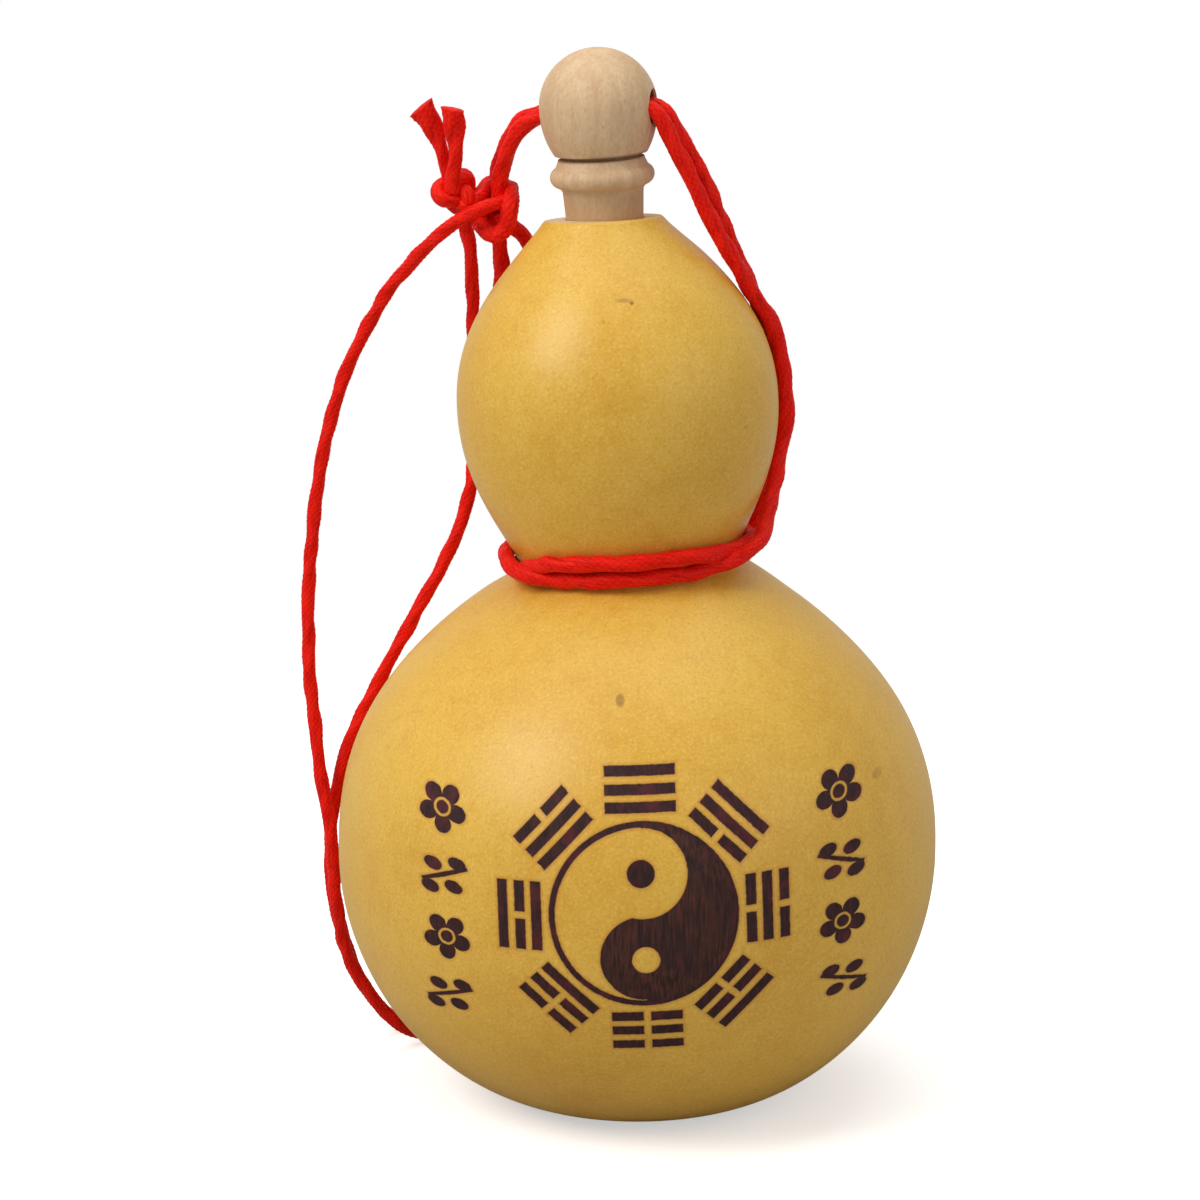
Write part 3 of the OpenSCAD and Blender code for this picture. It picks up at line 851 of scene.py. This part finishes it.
def cut_end(count):
    """How much wider and thinner a tail is than its cord, from its knot to its cut tip."""
    t = np.linspace(0, 1, count)
    return 1 + 0.72 * ease(t, 0.35, 1.0), 1 - 0.1 * ease(t, 0.35, 1.0)


knot_line = smooth_line(trefoil(END_KNOT, 3.0, 1.2, (0.1, -1, 0.1), 0.5), STEP)
end_knot = braided("ends_knot", knot_line, KNOT_CORD)
tails = []
for name, route, slant in (("tail_left", TAIL_LEFT, -0.3), ("tail_right", TAIL_RIGHT, 0.25)):
    line = smooth_line(route, STEP)
    wide, thick = cut_end(len(line))
    tails.append(braided(name, line, LOOP_CORD, wide=wide, thick=thick, slant=slant))
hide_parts("end_knot")
for tail in tails:
    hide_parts("cord_tails")
for piece in (end_knot, *tails):
    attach(piece, "stopper")

loop_line = uneven(smooth_line(HITCH + LOOP, STEP), LOOP_SWAY)
fat = 1 + HITCH_PLUMP * (1 - ease(np.arange(len(loop_line)) * STEP, *HITCH_END))
loop = braided("loop_cord", loop_line, LOOP_CORD, relief=0.22, wide=fat, thick=fat)
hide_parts("hanging_loop", "hitch_knot")
tether_blend(loop)
declare(
    loop, loop_line, HITCH[0], LOOP_CORD, "knot", "hanging", with_pieces=[end_knot, *tails]
)

for name, route in (("top_cord_back", TOP_BACK), ("top_cord_front", TOP_FRONT)):
    line = uneven(smooth_line(route, STEP), SWAY)
    top = braided(name, line, CORD)
    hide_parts("tether_top")
    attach(top, "stopper")
    declare(top, line, route[0], CORD, "knot", "taut")

for name, route in (("back_cord_left", BACK_LEFT), ("back_cord_right", BACK_RIGHT)):
    line = uneven(smooth_line(route, STEP), SWAY)
    back = braided(name, line, CORD)
    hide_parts("tether_back")
    tether_blend(back)
    declare(back, line, route[0], CORD, "object", "taut")

tie_line = smooth_line(trefoil(TIE, 2.5, 1.1, (-0.5, 1, 0.1), 0.2), STEP)
tie = braided("tie_knot", tie_line, TIE_CORD)
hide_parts("back_tie")
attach(tie, "gourd")

waist_line = waist_cord_line()
waist_cord = braided("waist_cord", waist_line, CORD)
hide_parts("waist_wrap", "tether_right")
tether_blend(waist_cord)
declare(waist_cord, waist_line, RIGHT_OUTER[0], CORD, "object", "taut")


# Gourd
def axis_blend(r, angle, s):
    """Turns about the upright axis below the waist, and about the leaning one above it.

    The hole is turned about the bore's own axis.
    """
    r, angle, s = np.broadcast_arrays(r, angle, s)
    a = np.radians(angle)
    low = np.stack(np.broadcast_arrays(r * np.cos(a), r * np.sin(a), s), -1)
    share = ease(s, 88, 97)[..., None]
    skin = low * (1 - share) + on_upper(r, angle, s) * share
    in_bore = ((r < BORE_R + 0.3) & (s > MOUTH_Z - BORE_LEN - 0.5))[..., None]
    place = np.where(in_bore, on_bore(r, angle, s - MOUTH_Z), skin)
    # The mouth's cut is a little higher in front and on the left.
    cut = -(CUT_FRONT * low[..., 1] + CUT_LEFT * low[..., 0]) * ease(s, CUT_FROM, MOUTH_Z)
    return place + np.stack([0 * cut, 0 * cut, cut], -1)


def bulb_outline(inset, floor_z, end_r, end_z):
    """Both bulbs' outline from the base up to (end_r, end_z), drawn in from the skin by inset.

    The stretches below and above the waist meet in a groove, which blur rounds off.
    """
    waist_low, waist_up = WAIST_R - WAIST_STEP - inset / 2, WAIST_R - inset
    crown = (CROWN_R - inset, CROWN_Z)
    belly = (BELLY_R - inset, BELLY_Z)
    t = np.sin(np.radians(np.linspace(90, 0, 70)))
    base = np.stack(stretch(t, belly, (BASE_R, floor_z), *BASE_BEND), -1)
    s = np.linspace(BELLY_Z, CROWN_Z, 190)[1:]
    top_z = WAIST_Z - inset
    low_t = np.clip((s - BELLY_Z) / (top_z - BELLY_Z), 0, 1)
    low = stretch(low_t, belly, (waist_low, top_z), *BELLY_BEND)[0]
    up_t = np.clip((CROWN_Z - s) / (CROWN_Z - WAIST_Z), 0, 1)
    up = stretch(up_t, crown, (waist_up, WAIST_Z), *WAIST_BEND)[0]
    blur = 0.45
    middle = np.maximum(low, up) + blur * np.log1p(np.exp(-np.abs(low - up) / blur))
    middle = np.where(np.abs(low - up) > 5, np.maximum(low, up), middle)
    t = np.sin(np.radians(np.linspace(0, 90, 60)))[1:]
    over = np.stack(stretch(t, crown, (end_r, end_z), *TOP_BEND), -1)
    return np.vstack([base, np.stack([middle, s], -1), over])


def make_gourd():
    """The shell as one closed turning: the skin, the cut mouth, the bore and the inside."""
    around = 224
    outer = bulb_outline(0, 0, MOUTH_R + BEVEL, MOUTH_Z - BEVEL)
    inner = bulb_outline(WALL, FLOOR, BORE_R, MOUTH_Z - BORE_LEN)
    outline = [(0, 0), (BASE_R * 0.5, 0), *outer]
    outline += [(MOUTH_R, MOUTH_Z), (BORE_R + 0.25, MOUTH_Z), (BORE_R, MOUTH_Z - 0.25)]
    outline += [*inner[::-1], (BASE_R * 0.5, FLOOR), (0, FLOOR)]
    obj = lathe("gourd_skin", outline, around, axis_blend)
    co = np.array([v.co for v in obj.data.vertices]) / MM
    # A grown fruit isn't a perfect turning: shallow dents, none at the base or the mouth.
    x, y, z = co.T
    dent = (
        np.sin(0.061 * x + 0.9 + 0.043 * z) * np.sin(0.083 * y - 0.4 + 0.027 * z)
        + 0.5 * np.sin(0.15 * x - 0.11 * z + 2.1) * np.sin(0.13 * y + 0.09 * z + 0.7)
    )
    radial = np.stack([x, y, np.zeros_like(z)], -1)
    radial /= np.maximum(np.linalg.norm(radial, axis=1), 1)[:, None]
    skin = np.zeros(len(co))
    skin[: (len(outer) + 1) * around] = 1
    amount = DENT * dent * ease(z, 4, 18) * (1 - ease(z, 140, 150)) * skin
    co = co + radial * amount[:, None]
    obj.data.vertices.foreach_set("co", (co * MM).reshape(-1))
    obj.data.set_sharp_from_angle(angle=math.radians(38))
    obj.data.materials.append(gourd_skin())
    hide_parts("gourd_shell")
    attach(obj, "gourd")


make_gourd()
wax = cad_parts["wax_lining"]
wax.data.materials.clear()
wax.data.materials.append(beeswax())


# Stopper
def arc(cr, cz, radius, start, end, count):
    """Points on an arc about (cr, cz), from start to end in degrees."""
    a = np.radians(np.linspace(start, end, count))
    return list(zip(cr + radius * np.cos(a), cz + radius * np.sin(a)))


def make_stopper():
    """The stopper, turned in one piece and drilled across its ball."""
    # The ball is drawn out a little below its widest place.
    k = np.linspace((BALL_Z - BALL_FROM) / BALL_DROP, 0, 30)
    lower_ball = list(zip(BALL_R * np.sqrt(1 - k**2), BALL_Z - BALL_DROP * k))
    upper = np.radians(np.linspace(0, 90, 40))[1:-1]
    upper_ball = list(zip(BALL_R * np.cos(upper), BALL_Z + BALL_TOP * np.sin(upper)))
    # Radius and height of the plug, the shank, the bead, the groove and the ball.
    outline = [
        (0, -PLUG), (5.2, -PLUG), (5.6, -11.85), (5.85, -11.5), (6.55, 0), (6.8, 4.2),
        (6.87, 4.9), (7.2, 5.4), *arc(7.1, 7.3, 1.75, -66, 64, 20), (7.75, 9.15),
        (7.45, 9.8), (7.3, 10.3), (6.95, 10.42), (6.72, 10.62), (6.74, 10.86), *lower_ball,
        *upper_ball, (0, BALL_Z + BALL_TOP),
    ]
    obj = lathe("turned_stopper", outline, 112, on_bore)

    # The drill of the cross hole, wider where it comes out of the ball, so the rims are eased.
    length = np.array([-14, -10.4, -9.9, -9.5, -9.0, -8.4, 8.4, 9.0, 9.5, 9.9, 10.4, 14])
    radius = HOLE_R + HOLE_EASE * ease(np.abs(length), 8.4, 10.2)
    sides = 56
    around = np.radians(np.arange(sides) * 360 / sides)
    drill = np.stack(
        np.broadcast_arrays(
            length[:, None],
            radius[:, None] * np.cos(around),
            radius[:, None] * np.sin(around),
        ),
        -1,
    ).reshape(-1, 3)
    last = (len(length) - 1) * sides
    faces = grid_faces(len(length), sides)
    faces += [list(range(sides))[::-1], [last + i for i in range(sides)]]
    place = (
        Matrix.Translation(on_bore(0, 0, HOLE_Z))
        @ Matrix.Rotation(-BORE_LEAN, 4, "Y")
        @ Matrix.Rotation(math.radians(HOLE_TURN), 4, "Z")
    )
    drill = np.array([place @ Vector(v) for v in drill])
    cutter = link("cutter", drill, faces)
    cut = obj.modifiers.new("hole", "BOOLEAN")
    cut.operation = "DIFFERENCE"
    cut.solver = "EXACT"
    cut.object = cutter
    done = bpy.data.meshes.new_from_object(
        obj.evaluated_get(bpy.context.evaluated_depsgraph_get())
    )
    obj.modifiers.clear()
    obj.data = done
    bpy.data.objects.remove(cutter)
    done.shade_smooth()
    done.set_sharp_from_angle(angle=math.radians(32))
    done.materials.clear()
    done.materials.append(turned_wood())
    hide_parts("stopper")
    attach(obj, "stopper")


make_stopper()


# Floor, light and background
def make_floor():
    """A pale floor that keeps the bottle's shadow and ends softly in the white round it."""
    t = np.radians(np.arange(72) * 5)
    rim = np.stack([900 * np.cos(t), 900 * np.sin(t), np.zeros(72)], -1)
    floor = link("floor", rim, [list(range(72))], smooth=False)
    p = Paint("floor")
    x, y, _ = p.axes()
    seen = p.node("ShaderNodeLightPath", out="Is Camera Ray")
    p.set(
        Base_Color=p.mix(seen, (0.5, 0.48, 0.44, 1), (0.95, 0.95, 0.95, 1)),
        Roughness=1.0,
        Specular_IOR_Level=0.0,
        Emission_Color=(1, 1, 1, 1),
        Emission_Strength=seen * FLOOR_LIFT,
    )
    far = ((x * x + y * y).power(0.5)).between(160.0, 420.0)
    clear = p.node("ShaderNodeBsdfTransparent")
    both = p.tree.nodes.new("ShaderNodeMixShader")
    feed(p.tree, both.inputs[0], far)
    p.tree.links.new(p.shader.outputs[0], both.inputs[1])
    p.tree.links.new(clear.out, both.inputs[2])
    end = next(n for n in p.tree.nodes if n.type == "OUTPUT_MATERIAL")
    p.tree.links.new(both.outputs[0], end.inputs["Surface"])
    floor.data.materials.append(p.material)


def area_light(name, place, aim, size, power, colour=(1, 1, 1)):
    """A lamp at place that faces aim, in metres and watts."""
    data = bpy.data.lights.new(name, "AREA")
    data.shape = "RECTANGLE"
    data.size, data.size_y = size
    data.energy = power
    data.color = colour
    lamp = bpy.data.objects.new(name, data)
    lamp.location = place
    lamp.rotation_euler = (Vector(aim) - Vector(place)).to_track_quat("-Z", "Y").to_euler()
    bpy.context.collection.objects.link(lamp)


def make_world():
    """White to the camera, dimmer in a reflection, and a soft light to all else."""
    world = bpy.data.worlds.new("world")
    world.use_nodes = True
    bpy.context.scene.world = world
    tree = world.node_tree
    paths = tree.nodes.new("ShaderNodeLightPath")
    seen = None
    for kind in ("Is Camera Ray", "Is Transmission Ray"):
        ray = Sum(tree, paths.outputs[kind])
        seen = ray if seen is None else seen.most(ray)
    glossy = Sum(tree, paths.outputs["Is Glossy Ray"])
    back = next(n for n in tree.nodes if n.type == "BACKGROUND")
    feed(tree, back.inputs["Color"], (1, 1, 1, 1))
    feed(tree, back.inputs["Strength"], seen.most(glossy * 0.3) * 0.63 + 0.37)


make_floor()
make_world()
centre = (0, 0, 0.085)
area_light("key", (-0.8, -0.55, 0.9), centre, (0.7, 0.7), 9.2, (1, 0.985, 0.96))
area_light("fill", (0.75, -0.6, 0.5), centre, (0.8, 0.8), 1.5)
area_light("top", (0.05, 0.1, 1.1), centre, (0.9, 0.9), 4.6)
bpy.context.scene.view_settings.view_transform = "Standard"
